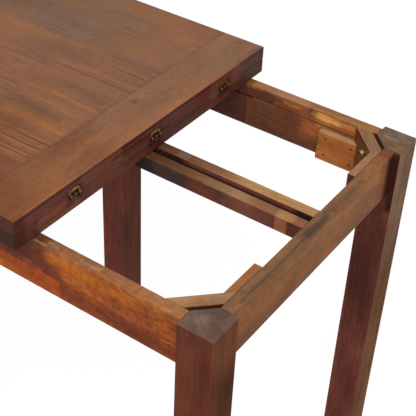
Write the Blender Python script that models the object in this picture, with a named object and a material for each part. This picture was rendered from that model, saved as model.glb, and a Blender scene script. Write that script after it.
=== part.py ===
"""Fold-over dining table: two equal leaves, hinged edge to edge, that slide on a four-leg frame.

It stands as in the photograph: leaves folded on each other and slid back until the hinged edge
lies over the middle of the frame, ready for the upper leaf to swing over on to the open half.
Metres, +Z up. X runs along the side aprons and the open half of the frame is at +X.
"""
import math

import bmesh
import bpy
from mathutils import Matrix, Vector

# Fits
GAP = 0.0003             # between pieces that touch
SLIDE_CLEARANCE = 0.0005  # each side of a piece that slides in another
END_CLEARANCE = 0.001    # left before the runner meets an end apron

# Frame
FRAME_LENGTH = 0.684     # over the legs, along X
FRAME_WIDTH = 0.634      # over the legs, along Y
LEG_HEIGHT = 0.750
LEG_SIDE = 0.063
APRON_SETBACK = 0.011    # apron face behind the leg face
APRON_THICKNESS = 0.021
APRON_HEIGHT = 0.092
GROOVE_DEPTH = 0.005     # kerf along the inner face of a side apron
GROOVE_HEIGHT = 0.0035
GROOVE_BELOW_TOP = 0.0245

# Slide rails
RAIL_WIDTH = 0.021
RAIL_HEIGHT = 0.029
SLOT_WIDTH = 0.0135      # between the two rails
TENON_LENGTH = 0.009
TENON_SHOULDER = 0.005   # rail face to tenon face

# Corner joints
LEG_TO_BRACE = 0.0077    # open gap between the leg's planed corner and the brace
BRACE_THICKNESS = 0.0222
CLEAT_LENGTH = 0.081     # along its front face
CLEAT_THICKNESS = 0.0135
CLEAT_HEIGHT = 0.060     # side cleats end level with the apron's bottom, end cleats with its top
CLEAT_HOLE_RADIUS = 0.0026
CLEAT_HOLE_DEPTH = 0.0065
CLEAT_HOLE_EDGE = 0.0125  # hole centre to the long edges of a cleat
CLEAT_HOLE_END = 0.017   # hole centre to the free end of a cleat's face
CLEAT_HOLE_BRACE = 0.0105  # hole centre to the end at the brace
BOLT_RADIUS = 0.003
BOLT_IN_LEG = 0.040
BOLT_PAST_NUT = 0.0035
BOLT_INSET = 0.0235      # bolt centre to the brace's top and bottom edges
NUT_ACROSS_FLATS = 0.010
NUT_HEIGHT = 0.006
NUT_FLANGE_RADIUS = 0.0072
NUT_FLANGE_HEIGHT = 0.0014

# Leaves
END_OVERHANG = 0.0315    # past the legs at both ends when the folded top is slid home
SIDE_OVERHANG = 0.0235   # past the legs at both sides
LEAF_THICKNESS = 0.027
END_BOARD_WIDTH = 0.090  # cross-grain board at each end of a leaf
TONGUE_LENGTH = 0.013
TONGUE_THICKNESS = 0.009
TONGUE_STOP = 0.060      # tongue ends this far inside the leaf's sides

# Hinges
HINGE_INSET = 0.1335     # outer hinges' centres to the leaf's sides
HINGE_WIDTH = 0.025
HINGE_REACH = 0.0125     # pin centre to the far edge of a hinge bar
HINGE_BAR_HEIGHT = 0.0055
HINGE_BAR_DEPTH = 0.0065
HINGE_SHOULDER = 0.004   # cut off the outer corners of a hinge bar
HINGE_ARM_WIDTH = 0.0042
HINGE_TONGUE_WIDTH = 0.0075
KNUCKLE_RADIUS = 0.003
PIN_RADIUS = 0.0015

# Runner under the lower leaf
KEEPER_INSET = 0.030     # keeper's ends to the runner's ends
KEEPER_WIDTH = 0.042
KEEPER_THICKNESS = 0.010
SCREW_RADIUS = 0.0025
SCREW_HEAD_RADIUS = 0.0048
SCREW_HEAD_HEIGHT = 0.003
SCREW_IN_LEAF = 0.015
SCREW_INSET = 0.020      # outer screws to the keeper's ends
SCREW_COUNT = 3

# Edges
SOFT_EDGE = 0.0012       # sanded edges of frame pieces
LEAF_EDGE = 0.0018       # sanded edges of the leaves
EDGE_STEPS = 2
ROUND_SIDES = 24
SHARP_ANGLE = math.radians(40)

# Derived places
INNER_FACE = APRON_SETBACK + APRON_THICKNESS
LEG_CORNER = LEG_SIDE - INNER_FACE  # planed off the leg, from the aprons' inner faces
BRACE_OUTER = LEG_CORNER + LEG_TO_BRACE * math.sqrt(2)  # along an apron, from the inner corner
BRACE_INNER = BRACE_OUTER + BRACE_THICKNESS * math.sqrt(2)
CLEAT_START = BRACE_INNER - CLEAT_THICKNESS
BOLT_LEVELS = {"upper": LEG_HEIGHT - BOLT_INSET, "lower": LEG_HEIGHT - APRON_HEIGHT + BOLT_INSET}
LEAF_LENGTH = FRAME_LENGTH + 2 * END_OVERHANG
LEAF_WIDTH = FRAME_WIDTH + 2 * SIDE_OVERHANG
HINGE_PLACES = {"near": HINGE_INSET - LEAF_WIDTH / 2, "middle": 0.0, "far": LEAF_WIDTH / 2 - HINGE_INSET}
FRAME_X = (LEAF_LENGTH + GAP / 2 - FRAME_LENGTH / 2) / 2  # the whole part is centred on X = 0
BAY_HALF_LENGTH = FRAME_LENGTH / 2 - INNER_FACE
SLIDE_TRAVEL = LEAF_LENGTH / 2
RUNNER_LENGTH = 2 * BAY_HALF_LENGTH - SLIDE_TRAVEL - 2 * END_CLEARANCE
RUNNER_X = FRAME_X - BAY_HALF_LENGTH + END_CLEARANCE + RUNNER_LENGTH / 2
KEEPER_LENGTH = RUNNER_LENGTH - 2 * KEEPER_INSET
LOWER_LEAF_Z = LEG_HEIGHT + GAP
PIN_X = FRAME_X
PIN_Z = LOWER_LEAF_Z + LEAF_THICKNESS + GAP / 2
HINGED_EDGE_X = PIN_X - GAP / 2
FREE_EDGE_X = HINGED_EDGE_X - LEAF_LENGTH

JOINT_PLACES = {"top_slide": Vector((PIN_X, 0, LEG_HEIGHT)), "leaf_fold": Vector((PIN_X, 0, PIN_Z))}

ENDS = {"open": 1, "leaf": -1}
SIDES = {"near": -1, "far": 1}


def material(name, colour, roughness, metallic=0.0):
    """A plain Principled material."""
    mat = bpy.data.materials.new(name)
    mat.use_nodes = True
    shader = mat.node_tree.nodes["Principled BSDF"]
    shader.inputs["Base Color"].default_value = (*colour, 1.0)
    shader.inputs["Roughness"].default_value = roughness
    shader.inputs["Metallic"].default_value = metallic
    return mat


def finish(name, bm, mat, carrier=None):
    """Turn a bmesh into a named object, faces outward, with its origin in its middle.

    A moving piece is carried by the empty on its joint's axis.
    """
    bmesh.ops.recalc_face_normals(bm, faces=bm.faces)
    low = Vector(min(v.co[i] for v in bm.verts) for i in range(3))
    high = Vector(max(v.co[i] for v in bm.verts) for i in range(3))
    middle = (low + high) / 2
    bmesh.ops.translate(bm, verts=bm.verts, vec=-middle)
    mesh = bpy.data.meshes.new(name)
    bm.to_mesh(mesh)
    bm.free()
    mesh.materials.append(mat)
    mesh.shade_smooth()
    mesh.set_sharp_from_angle(angle=SHARP_ANGLE)
    obj = bpy.data.objects.new(name, mesh)
    bpy.context.collection.objects.link(obj)
    obj.location = middle
    if carrier:
        obj.parent = carrier
        obj.location = middle - JOINT_PLACES[carrier.name]
    return obj


def joint_empty(name, carrier=None):
    """An empty on a joint's axis, for the pieces that the joint moves."""
    empty = bpy.data.objects.new(name, None)
    bpy.context.collection.objects.link(empty)
    empty.location = JOINT_PLACES[name]
    if carrier:
        empty.parent = carrier
        empty.location = JOINT_PLACES[name] - JOINT_PLACES[carrier.name]
    return empty


def ease(bm, radius, wanted):
    """Round the edges for which wanted(direction, middle) is true."""
    chosen = []
    for edge in bm.edges:
        a, b = (v.co for v in edge.verts)
        if wanted((b - a).normalized(), (a + b) / 2):
            chosen.append(edge)
    bmesh.ops.bevel(bm, geom=chosen, offset=radius, segments=EDGE_STEPS, profile=0.5, affect='EDGES')


def along(axis):
    """A test for edges that run along one axis: 0, 1 or 2."""
    return lambda direction, middle: abs(direction[axis]) > 0.999


def every_edge(direction, middle):
    """A test that takes every edge."""
    return True


def prism(points, low, high, axis=2):
    """A bmesh with a flat outline, given in the two axes after the chosen one, pushed along it."""
    bm = bmesh.new()
    first, second = (axis + 1) % 3, (axis + 2) % 3
    loops = []
    for level in (low, high):
        loop = []
        for u, v in points:
            place = Vector((0, 0, 0))
            place[axis], place[first], place[second] = level, u, v
            loop.append(bm.verts.new(place))
        loops.append(loop)
    bm.faces.new(loops[0])
    bm.faces.new(loops[1])
    for i in range(len(points)):
        j = (i + 1) % len(points)
        bm.faces.new((loops[0][i], loops[0][j], loops[1][j], loops[1][i]))
    return bm


def box(x, y, z):
    """A bmesh box from three (low, high) ranges."""
    outline = [(x[0], y[0]), (x[1], y[0]), (x[1], y[1]), (x[0], y[1])]
    return prism(outline, z[0], z[1])


def turned(profile, start, direction, ring=False):
    """A bmesh turned about a line; profile lists (radius, distance along the line).

    A radius may be a function of the angle. With ring the profile closes on itself around a hole.
    """
    bm = bmesh.new()
    turn = Vector((0, 0, 1)).rotation_difference(Vector(direction)).to_matrix().to_4x4()
    place = Matrix.Translation(start) @ turn
    loops = []
    for radius, distance in profile:
        loop = []
        for i in range(ROUND_SIDES):
            angle = 2 * math.pi * i / ROUND_SIDES
            r = radius(angle) if callable(radius) else radius
            loop.append(bm.verts.new(place @ Vector((r * math.cos(angle), r * math.sin(angle), distance))))
        loops.append(loop)
    pairs = list(zip(loops, loops[1:]))
    if ring:
        pairs.append((loops[-1], loops[0]))
    else:
        bm.faces.new(loops[0])
        bm.faces.new(loops[-1])
    for a, b in pairs:
        for i in range(ROUND_SIDES):
            j = (i + 1) % ROUND_SIDES
            bm.faces.new((a[i], a[j], b[j], b[i]))
    return bm


def rod(radius, start, end):
    """A bmesh cylinder between two points."""
    start, end = Vector(start), Vector(end)
    line = end - start
    return turned([(radius, 0), (radius, line.length)], start, line.normalized())


def combine(obj, bm, operation):
    """Join a shape to an object, or cut it away, with a Boolean modifier."""
    tool = finish(f"{obj.name} {operation.lower()} {len(obj.modifiers) + 1}", bm, obj.data.materials[0])
    tool.hide_render = True
    tool.display_type = 'WIRE'
    modifier = obj.modifiers.new(operation.title(), 'BOOLEAN')
    modifier.operation = operation
    modifier.solver = 'EXACT'
    modifier.object = tool


def cut(obj, bm):
    combine(obj, bm, 'DIFFERENCE')


def join(obj, bm):
    combine(obj, bm, 'UNION')


def corner(end, side, p, q):
    """World X, Y of a point p from the end apron's inner face and q from the side apron's."""
    x = FRAME_X + ENDS[end] * (FRAME_LENGTH / 2 - INNER_FACE - p)
    y = SIDES[side] * (FRAME_WIDTH / 2 - INNER_FACE - q)
    return x, y


def bolt_point(end, side, level, distance):
    """A point on a hanger bolt's line, distance from the inner corner along the diagonal."""
    x, y = corner(end, side, distance / math.sqrt(2), distance / math.sqrt(2))
    return Vector((x, y, BOLT_LEVELS[level]))


def make_leg(end, side, mat):
    """A square leg whose inner corner is planed off beside the aprons, where it faces the brace."""
    out, inner = -INNER_FACE, LEG_CORNER
    outline = [(out, out), (inner, out), (inner, inner), (out, inner)]
    points = [corner(end, side, p, q) for p, q in outline]
    bm = prism(points, 0, LEG_HEIGHT)
    ease(bm, SOFT_EDGE, every_edge)
    leg = finish(f"leg_{end}_{side}", bm, mat)
    wedge = [(inner + GAP, -GAP), (inner + GAP, inner + GAP), (-GAP, inner + GAP)]
    points = [corner(end, side, p, q) for p, q in wedge]
    cut(leg, prism(points, LEG_HEIGHT - APRON_HEIGHT, LEG_HEIGHT + GAP))
    face = inner / math.sqrt(2)
    for level in BOLT_LEVELS:
        start = bolt_point(end, side, level, face - BOLT_IN_LEG - GAP)
        stop = bolt_point(end, side, level, face + BOLT_RADIUS)
        cut(leg, rod(BOLT_RADIUS + GAP, start, stop))


def make_side_apron(side, mat):
    """A long apron between two legs, with a kerf along its inner face."""
    half = FRAME_LENGTH / 2 - LEG_SIDE - GAP
    out = SIDES[side] * (FRAME_WIDTH / 2 - APRON_SETBACK)
    inner = out - SIDES[side] * APRON_THICKNESS
    kerf = inner + SIDES[side] * GROOVE_DEPTH
    top, bottom = LEG_HEIGHT, LEG_HEIGHT - APRON_HEIGHT
    kerf_top = top - GROOVE_BELOW_TOP
    kerf_bottom = kerf_top - GROOVE_HEIGHT
    outline = [(out, bottom), (out, top), (inner, top), (inner, kerf_top),
               (kerf, kerf_top), (kerf, kerf_bottom), (inner, kerf_bottom), (inner, bottom)]
    bm = prism(outline, FRAME_X - half, FRAME_X + half, axis=0)
    outside = {round(top, 6), round(bottom, 6)}
    ease(bm, SOFT_EDGE, lambda direction, middle: abs(direction.x) > 0.999 and round(middle.z, 6) in outside)
    finish(f"side_apron_{side}", bm, mat)


def rail_range(side):
    """The (low, high) Y range of a slide rail."""
    return sorted((SIDES[side] * SLOT_WIDTH / 2, SIDES[side] * (SLOT_WIDTH / 2 + RAIL_WIDTH)))


def tenon_box(side, reach, extra):
    """A bmesh box through a rail that ends in its two tenons, larger all round by extra."""
    y = rail_range(side)
    z = (LEG_HEIGHT - RAIL_HEIGHT, LEG_HEIGHT)
    inset = TENON_SHOULDER - extra
    return box((FRAME_X - reach, FRAME_X + reach), (y[0] + inset, y[1] - inset), (z[0] + inset, z[1] - inset))


def make_end_apron(end, mat):
    """A short apron between two legs, with mortises for the slide rails."""
    out = FRAME_X + ENDS[end] * (FRAME_LENGTH / 2 - APRON_SETBACK)
    inner = out - ENDS[end] * APRON_THICKNESS
    half = FRAME_WIDTH / 2 - LEG_SIDE - GAP
    bm = box(sorted((out, inner)), (-half, half), (LEG_HEIGHT - APRON_HEIGHT, LEG_HEIGHT))
    ease(bm, SOFT_EDGE, along(1))
    apron = finish(f"end_apron_{end}", bm, mat)
    for side in SIDES:
        cut(apron, tenon_box(side, BAY_HALF_LENGTH + TENON_LENGTH + GAP, GAP))


def make_rail(side, mat):
    """One of the two centre rails that guide the runner, tenoned into the end aprons."""
    half = BAY_HALF_LENGTH - GAP
    bm = box((FRAME_X - half, FRAME_X + half), rail_range(side), (LEG_HEIGHT - RAIL_HEIGHT, LEG_HEIGHT))
    ease(bm, SOFT_EDGE, along(0))
    rail = finish(f"slide_rail_{side}", bm, mat)
    join(rail, tenon_box(side, BAY_HALF_LENGTH + TENON_LENGTH, 0))


def make_brace(end, side, mat):
    """A board on edge across the corner, with holes for the two hanger bolts."""
    slack = GAP * math.sqrt(2)
    outline = [(BRACE_OUTER - GAP, GAP), (BRACE_INNER - slack, GAP),
               (GAP, BRACE_INNER - slack), (GAP, BRACE_OUTER - GAP)]
    points = [corner(end, side, p, q) for p, q in outline]
    brace = finish(f"corner_brace_{end}_{side}", prism(points, LEG_HEIGHT - APRON_HEIGHT, LEG_HEIGHT), mat)
    for level in BOLT_LEVELS:
        start = bolt_point(end, side, level, BRACE_OUTER / math.sqrt(2) - BOLT_RADIUS)
        stop = bolt_point(end, side, level, BRACE_INNER / math.sqrt(2) + BOLT_RADIUS)
        cut(brace, rod(BOLT_RADIUS + GAP, start, stop))


def make_cleats(end, side, mat):
    """Two blocks behind a brace, one on the side apron and one on the end apron, with screw holes."""
    face = GAP + CLEAT_THICKNESS
    reach = CLEAT_START + CLEAT_LENGTH
    outline = [(BRACE_INNER, GAP), (reach, GAP), (reach, face), (CLEAT_START, face)]
    holes_along = (CLEAT_START + CLEAT_HOLE_BRACE, reach - CLEAT_HOLE_END)
    along_side = (lambda a, b: (a, b), LEG_HEIGHT - APRON_HEIGHT)
    along_end = (lambda a, b: (b, a), LEG_HEIGHT - CLEAT_HEIGHT)
    for kind, (order, bottom) in {"side": along_side, "end": along_end}.items():
        top = bottom + CLEAT_HEIGHT
        points = [corner(end, side, *order(a, b)) for a, b in outline]
        cleat = finish(f"{kind}_cleat_{end}_{side}", prism(points, bottom, top), mat)
        for a in holes_along:
            mouth = corner(end, side, *order(a, face + GAP))
            depth = corner(end, side, *order(a, face - CLEAT_HOLE_DEPTH))
            for z in (top - CLEAT_HOLE_EDGE, bottom + CLEAT_HOLE_EDGE):
                cut(cleat, rod(CLEAT_HOLE_RADIUS, (*mouth, z), (*depth, z)))


def hexagon(angle):
    """Distance from a nut's centre to its side at an angle."""
    turn = (angle + math.pi / 6) % (math.pi / 3) - math.pi / 6
    return NUT_ACROSS_FLATS / 2 / math.cos(turn)


def make_bolts(end, side, bolt_mat, nut_mat):
    """The hanger bolts that pull a leg against its brace, each with a flanged nut."""
    leg_face = LEG_CORNER / math.sqrt(2)
    seat = BRACE_INNER / math.sqrt(2) + GAP
    for level in BOLT_LEVELS:
        start = bolt_point(end, side, level, leg_face - BOLT_IN_LEG)
        stop = bolt_point(end, side, level, seat + NUT_HEIGHT + BOLT_PAST_NUT)
        line = (stop - start).normalized()
        length = (stop - start).length
        tip = BOLT_RADIUS / 4
        shape = [(BOLT_RADIUS, 0), (BOLT_RADIUS, length - tip), (BOLT_RADIUS - tip, length)]
        finish(f"hanger_bolt_{end}_{side}_{level}", turned(shape, start, line), bolt_mat)
        bore = BOLT_RADIUS + GAP
        nut = [(bore, 0), (NUT_FLANGE_RADIUS, 0), (NUT_FLANGE_RADIUS, NUT_FLANGE_HEIGHT),
               (hexagon, NUT_FLANGE_HEIGHT), (hexagon, NUT_HEIGHT), (bore, NUT_HEIGHT)]
        shape = turned(nut, bolt_point(end, side, level, seat), line, ring=True)
        finish(f"bolt_nut_{end}_{side}_{level}", shape, nut_mat)


def make_leaf(name, low, seam_side, mat, carrier):
    """A leaf from its low face up: a tongued panel between two grooved end boards.

    seam_side is 1 where the leaf's seam is on top and -1 where it is below.
    """
    high = low + LEAF_THICKNESS
    middle = (low + high) / 2
    width = (-LEAF_WIDTH / 2, LEAF_WIDTH / 2)
    joint_hinged = HINGED_EDGE_X - END_BOARD_WIDTH
    joint_free = FREE_EDGE_X + END_BOARD_WIDTH
    tongue_half = LEAF_WIDTH / 2 - TONGUE_STOP

    def tongue(extra):
        reach = TONGUE_LENGTH + extra
        half = TONGUE_THICKNESS / 2 + extra
        return box((joint_free - reach, joint_hinged + reach), (-tongue_half - extra, tongue_half + extra),
                   (middle - half, middle + half))

    bm = box((joint_free + GAP, joint_hinged - GAP), width, (low, high))
    ease(bm, LEAF_EDGE, along(0))
    panel = finish(f"{name}_panel", bm, mat, carrier)
    join(panel, tongue(0))

    boards = {"hinged": (joint_hinged, HINGED_EDGE_X), "free": (joint_free, FREE_EDGE_X)}
    for kind, (joint, edge) in boards.items():
        bm = box(sorted((joint, edge)), width, (low, high))
        ease(bm, LEAF_EDGE, lambda direction, mid: abs(mid.x - joint) > GAP)
        board = finish(f"{name}_{kind}_end", bm, mat, carrier)
        cut(board, tongue(GAP))
        if kind == "hinged":
            for y in HINGE_PLACES.values():
                half = HINGE_WIDTH / 2 + GAP
                depth = (edge - HINGE_BAR_DEPTH - 2 * GAP, edge + GAP)
                far = PIN_Z - seam_side * (HINGE_REACH + GAP)
                mouth = PIN_Z + seam_side * GAP
                cut(board, box(depth, (y - half, y + half), sorted((far, mouth))))
    return panel


def make_hinges(fork_mat, steel_mat, slide, fold):
    """Fork and pin on the upper leaf and tongue on the lower one, turning on the seam line."""
    back = HINGED_EDGE_X - HINGE_BAR_DEPTH - GAP
    front = HINGED_EDGE_X - GAP
    arm_back = PIN_X - KNUCKLE_RADIUS
    half = HINGE_WIDTH / 2

    def half_hinge(name, y, side, arms, mat, carrier):
        """A bar let into one leaf with arms that end in knuckles around the pin."""
        bar_far = PIN_Z + side * HINGE_REACH
        bar_near = PIN_Z + side * (HINGE_REACH - HINGE_BAR_HEIGHT)
        shoulder = bar_far - side * HINGE_SHOULDER
        cut_half = half - HINGE_SHOULDER
        outline = [(y - half, bar_near), (y + half, bar_near), (y + half, shoulder),
                   (y + cut_half, bar_far), (y - cut_half, bar_far), (y - half, shoulder)]
        bar = prism(outline, back, front, axis=0)
        ease(bar, SOFT_EDGE / 2, every_edge)
        obj = finish(name, bar, mat, carrier)
        arm_end = bar_near + side * HINGE_BAR_HEIGHT / 2
        for low, high in arms:
            join(obj, box((arm_back, front), (y + low, y + high), sorted((PIN_Z, arm_end))))
            join(obj, rod(KNUCKLE_RADIUS, (PIN_X, y + low, PIN_Z), (PIN_X, y + high, PIN_Z)))
        cut(obj, rod(PIN_RADIUS + GAP / 2, (PIN_X, y - HINGE_WIDTH, PIN_Z), (PIN_X, y + HINGE_WIDTH, PIN_Z)))

    for place, y in HINGE_PLACES.items():
        fork_arms = [(-half, -half + HINGE_ARM_WIDTH), (half - HINGE_ARM_WIDTH, half)]
        tongue_arms = [(-HINGE_TONGUE_WIDTH / 2, HINGE_TONGUE_WIDTH / 2)]
        half_hinge(f"hinge_fork_{place}", y, 1, fork_arms, fork_mat, fold)
        half_hinge(f"hinge_tongue_{place}", y, -1, tongue_arms, steel_mat, slide)
        pin = rod(PIN_RADIUS, (PIN_X, y - half, PIN_Z), (PIN_X, y + half, PIN_Z))
        finish(f"hinge_pin_{place}", pin, steel_mat, fold)


def make_runner(panel, wood, steel, slide):
    """The runner in the slot under the lower leaf, the keeper below the rails and their screws."""
    top = LOWER_LEAF_Z - GAP
    bottom = LEG_HEIGHT - RAIL_HEIGHT - SLIDE_CLEARANCE
    half = SLOT_WIDTH / 2 - SLIDE_CLEARANCE
    ends = (RUNNER_X - RUNNER_LENGTH / 2, RUNNER_X + RUNNER_LENGTH / 2)
    runner = finish("slide_runner", box(ends, (-half, half), (bottom, top)), wood, slide)
    keeper_top = bottom - GAP
    keeper_bottom = keeper_top - KEEPER_THICKNESS
    bm = box((RUNNER_X - KEEPER_LENGTH / 2, RUNNER_X + KEEPER_LENGTH / 2),
             (-KEEPER_WIDTH / 2, KEEPER_WIDTH / 2), (keeper_bottom, keeper_top))
    ease(bm, SOFT_EDGE, every_edge)
    keeper = finish("keeper_strip", bm, wood, slide)
    head_z = keeper_bottom - GAP - SCREW_HEAD_HEIGHT
    length = LOWER_LEAF_Z + SCREW_IN_LEAF - head_z
    spacing = (KEEPER_LENGTH - 2 * SCREW_INSET) / (SCREW_COUNT - 1)
    for i in range(SCREW_COUNT):
        x = RUNNER_X - KEEPER_LENGTH / 2 + SCREW_INSET + i * spacing
        foot = Vector((x, 0, head_z))
        shape = [(SCREW_HEAD_RADIUS * 0.8, 0), (SCREW_HEAD_RADIUS, SCREW_HEAD_HEIGHT / 2),
                 (SCREW_HEAD_RADIUS, SCREW_HEAD_HEIGHT), (SCREW_RADIUS, SCREW_HEAD_HEIGHT),
                 (SCREW_RADIUS, length - SCREW_RADIUS), (SCREW_RADIUS / 4, length)]
        finish(f"keeper_screw_{i + 1}", turned(shape, foot, (0, 0, 1)), steel, slide)
        for piece in (runner, keeper, panel):
            cut(piece, rod(SCREW_RADIUS + GAP, foot, foot + Vector((0, 0, length + GAP))))


def build():
    """Make every piece of the table."""
    for old in list(bpy.data.objects):
        bpy.data.objects.remove(old)
    top_wood = material("lacquered top wood", (0.25, 0.115, 0.058), 0.32)
    frame_wood = material("lacquered frame wood", (0.16, 0.058, 0.030), 0.38)
    rail_wood = material("lacquered rail wood", (0.36, 0.17, 0.075), 0.42)
    block_wood = material("pale block wood", (0.40, 0.16, 0.05), 0.50)
    brass = material("polished brass", (0.60, 0.36, 0.12), 0.28, 1.0)
    zinc = material("zinc plated steel", (0.62, 0.60, 0.54), 0.35, 1.0)
    dark_steel = material("dark steel", (0.06, 0.055, 0.05), 0.50, 1.0)

    for side in SIDES:
        make_side_apron(side, frame_wood)
        make_rail(side, rail_wood)
    for end in ENDS:
        make_end_apron(end, frame_wood)
        for side in SIDES:
            make_leg(end, side, frame_wood)
            make_brace(end, side, block_wood)
            make_cleats(end, side, block_wood)
            make_bolts(end, side, dark_steel, zinc)
    slide = joint_empty("top_slide")
    fold = joint_empty("leaf_fold", slide)
    lower_panel = make_leaf("lower_leaf", LOWER_LEAF_Z, 1, top_wood, slide)
    make_leaf("upper_leaf", LOWER_LEAF_Z + LEAF_THICKNESS + GAP, -1, top_wood, fold)
    make_hinges(brass, dark_steel, slide, fold)
    make_runner(lower_panel, rail_wood, zinc, slide)


build()
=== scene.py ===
# %% [markdown]
# # A fold-over dining table in stained hardwood
#
# The table has two equal leaves, hinged edge to edge and folded on each other, on a frame of four legs,
# aprons and two slide rails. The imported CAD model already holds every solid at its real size, so this lesson
# gives the solids their wood, brass and steel, adds the small screws, and sets up a plain studio.

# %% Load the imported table
import math

import bpy
from mathutils import Euler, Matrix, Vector


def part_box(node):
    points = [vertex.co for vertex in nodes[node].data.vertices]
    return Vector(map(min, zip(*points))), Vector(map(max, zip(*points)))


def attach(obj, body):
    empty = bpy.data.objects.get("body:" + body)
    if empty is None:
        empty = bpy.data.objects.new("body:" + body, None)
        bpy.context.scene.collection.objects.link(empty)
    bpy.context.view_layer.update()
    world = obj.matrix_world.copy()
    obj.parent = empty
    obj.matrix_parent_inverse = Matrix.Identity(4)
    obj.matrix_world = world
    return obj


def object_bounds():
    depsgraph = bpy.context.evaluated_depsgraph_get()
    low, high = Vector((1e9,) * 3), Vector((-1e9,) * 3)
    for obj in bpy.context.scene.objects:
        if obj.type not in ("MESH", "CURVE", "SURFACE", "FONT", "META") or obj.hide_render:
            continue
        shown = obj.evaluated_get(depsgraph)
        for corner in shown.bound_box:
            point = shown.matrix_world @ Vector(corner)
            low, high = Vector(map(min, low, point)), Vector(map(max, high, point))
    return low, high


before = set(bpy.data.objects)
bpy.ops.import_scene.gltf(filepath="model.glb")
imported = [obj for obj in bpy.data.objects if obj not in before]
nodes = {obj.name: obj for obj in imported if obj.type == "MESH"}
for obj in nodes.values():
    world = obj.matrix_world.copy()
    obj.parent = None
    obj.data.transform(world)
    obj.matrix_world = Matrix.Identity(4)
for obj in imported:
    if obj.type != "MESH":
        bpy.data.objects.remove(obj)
cad_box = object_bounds()
size = cad_box[1] - cad_box[0]
print(f"{len(nodes)} solids, {size.x * 1000:.0f} x {size.y * 1000:.0f} x {size.z * 1000:.0f} mm")

# %% [markdown]
# ## A few helpers
#
# Colours are written as hex values, the way a colour picker shows them. Blender's sockets want linear light,
# so one function converts them. Materials are built from nodes, and one small function adds a node: a socket
# handed to it becomes a link, and anything else becomes the input's value. Two more start a material with an
# empty tree and give a node group its sockets.

# %% Colour and node helpers
def linear(hex_colour):
    values = [int(hex_colour[i:i + 2], 16) / 255 for i in (1, 3, 5)]
    return tuple(v / 12.92 if v <= 0.04045 else ((v + 0.055) / 1.055) ** 2.4 for v in values) + (1.0,)


def add(tree, kind, inputs=None, **settings):
    node = tree.nodes.new(kind)
    for key, value in settings.items():
        setattr(node, key, value)
    for key, value in (inputs or {}).items():
        if isinstance(value, bpy.types.NodeSocket):
            tree.links.new(value, node.inputs[key])
        else:
            node.inputs[key].default_value = value
    return node


def blank_material(name):
    material = bpy.data.materials.new(name)
    material.use_nodes = True
    material.node_tree.nodes.clear()
    return material


def sockets(group, in_out, *rows):
    for name, kind in rows:
        group.interface.new_socket(name, in_out=in_out, socket_type="NodeSocket" + kind)


def words(node_name):
    return node_name.replace("_", " ")


print("middle brown in linear light:", [round(v, 3) for v in linear("#8A5C3E")[:3]])

# %% [markdown]
# ## Wood that is solid all the way through
#
# The table is solid hardwood with a brown stain under a satin oil. A picture of wood could be laid on each
# face, but on real boards the grain runs on round every corner. So the colour is worked out from the place
# inside the tree: growth rings are bands of distance from the tree's heart, bent a little by slow noise.
# Fibres and dark streaks are noise drawn out along the grain, patches and mottle are nearly round noise, and
# the figure is noise drawn out across the grain, the ripple that makes some boards look fiery. The group
# expects metres, with the grain along X and the heart on the X axis.

# %% The wood group: bends and growth rings
wood_group = bpy.data.node_groups.new("solid stained hardwood", "ShaderNodeTree")
sockets(wood_group, "INPUT", ("Place", "Vector"), ("Pale", "Color"), ("Middle", "Color"), ("Dark", "Color"),
        ("Ring width", "Float"), ("Wander", "Float"), ("Rings", "Float"), ("Fibres", "Float"),
        ("Patches", "Float"), ("Mottle", "Float"), ("Figure", "Float"), ("Streaks", "Float"))
sockets(wood_group, "OUTPUT", ("Color", "Color"), ("Tone", "Float"), ("Fibre", "Float"))

g = wood_group
given = add(g, "NodeGroupInput").outputs
ACROSS_GRAIN = (0.0, 1.0, 1.0)
NOISE_MIDDLE = (0.5, 0.5, 0.5)
SLOW_BENDS = (4.0, 14.0, 14.0)      # per metre: about 250 mm along the grain and 70 mm across it
slow_place = add(g, "ShaderNodeVectorMath", {0: given["Place"], 1: SLOW_BENDS}, operation="MULTIPLY")
slow = add(g, "ShaderNodeTexNoise", {0: slow_place.outputs[0], "Scale": 1.0, "Detail": 2.0})
centred = add(g, "ShaderNodeVectorMath", {0: slow.outputs["Color"], 1: NOISE_MIDDLE}, operation="SUBTRACT")
push = add(g, "ShaderNodeVectorMath", {0: centred.outputs[0], "Scale": given["Wander"]}, operation="SCALE")
across = add(g, "ShaderNodeVectorMath", {0: push.outputs[0], 1: ACROSS_GRAIN}, operation="MULTIPLY")
bent = add(g, "ShaderNodeVectorMath", {0: given["Place"], 1: across.outputs[0]}, operation="ADD").outputs[0]

# growth rings: uneven bands of distance from the heart
spoke = add(g, "ShaderNodeVectorMath", {0: bent, 1: ACROSS_GRAIN}, operation="MULTIPLY")
radius = add(g, "ShaderNodeVectorMath", {0: spoke.outputs[0]}, operation="LENGTH").outputs["Value"]
ring_count = add(g, "ShaderNodeMath", {0: radius, 1: given["Ring width"]}, operation="DIVIDE")
rings = add(g, "ShaderNodeTexNoise", {"W": ring_count.outputs[0], "Scale": 1.0, "Detail": 3.0,
                                      "Roughness": 0.6}, noise_dimensions="1D")
print(f"bends and rings: {len(g.nodes)} nodes")

# %% The wood group: the other patterns
patterns = {"Rings": rings.outputs[0]}
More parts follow.
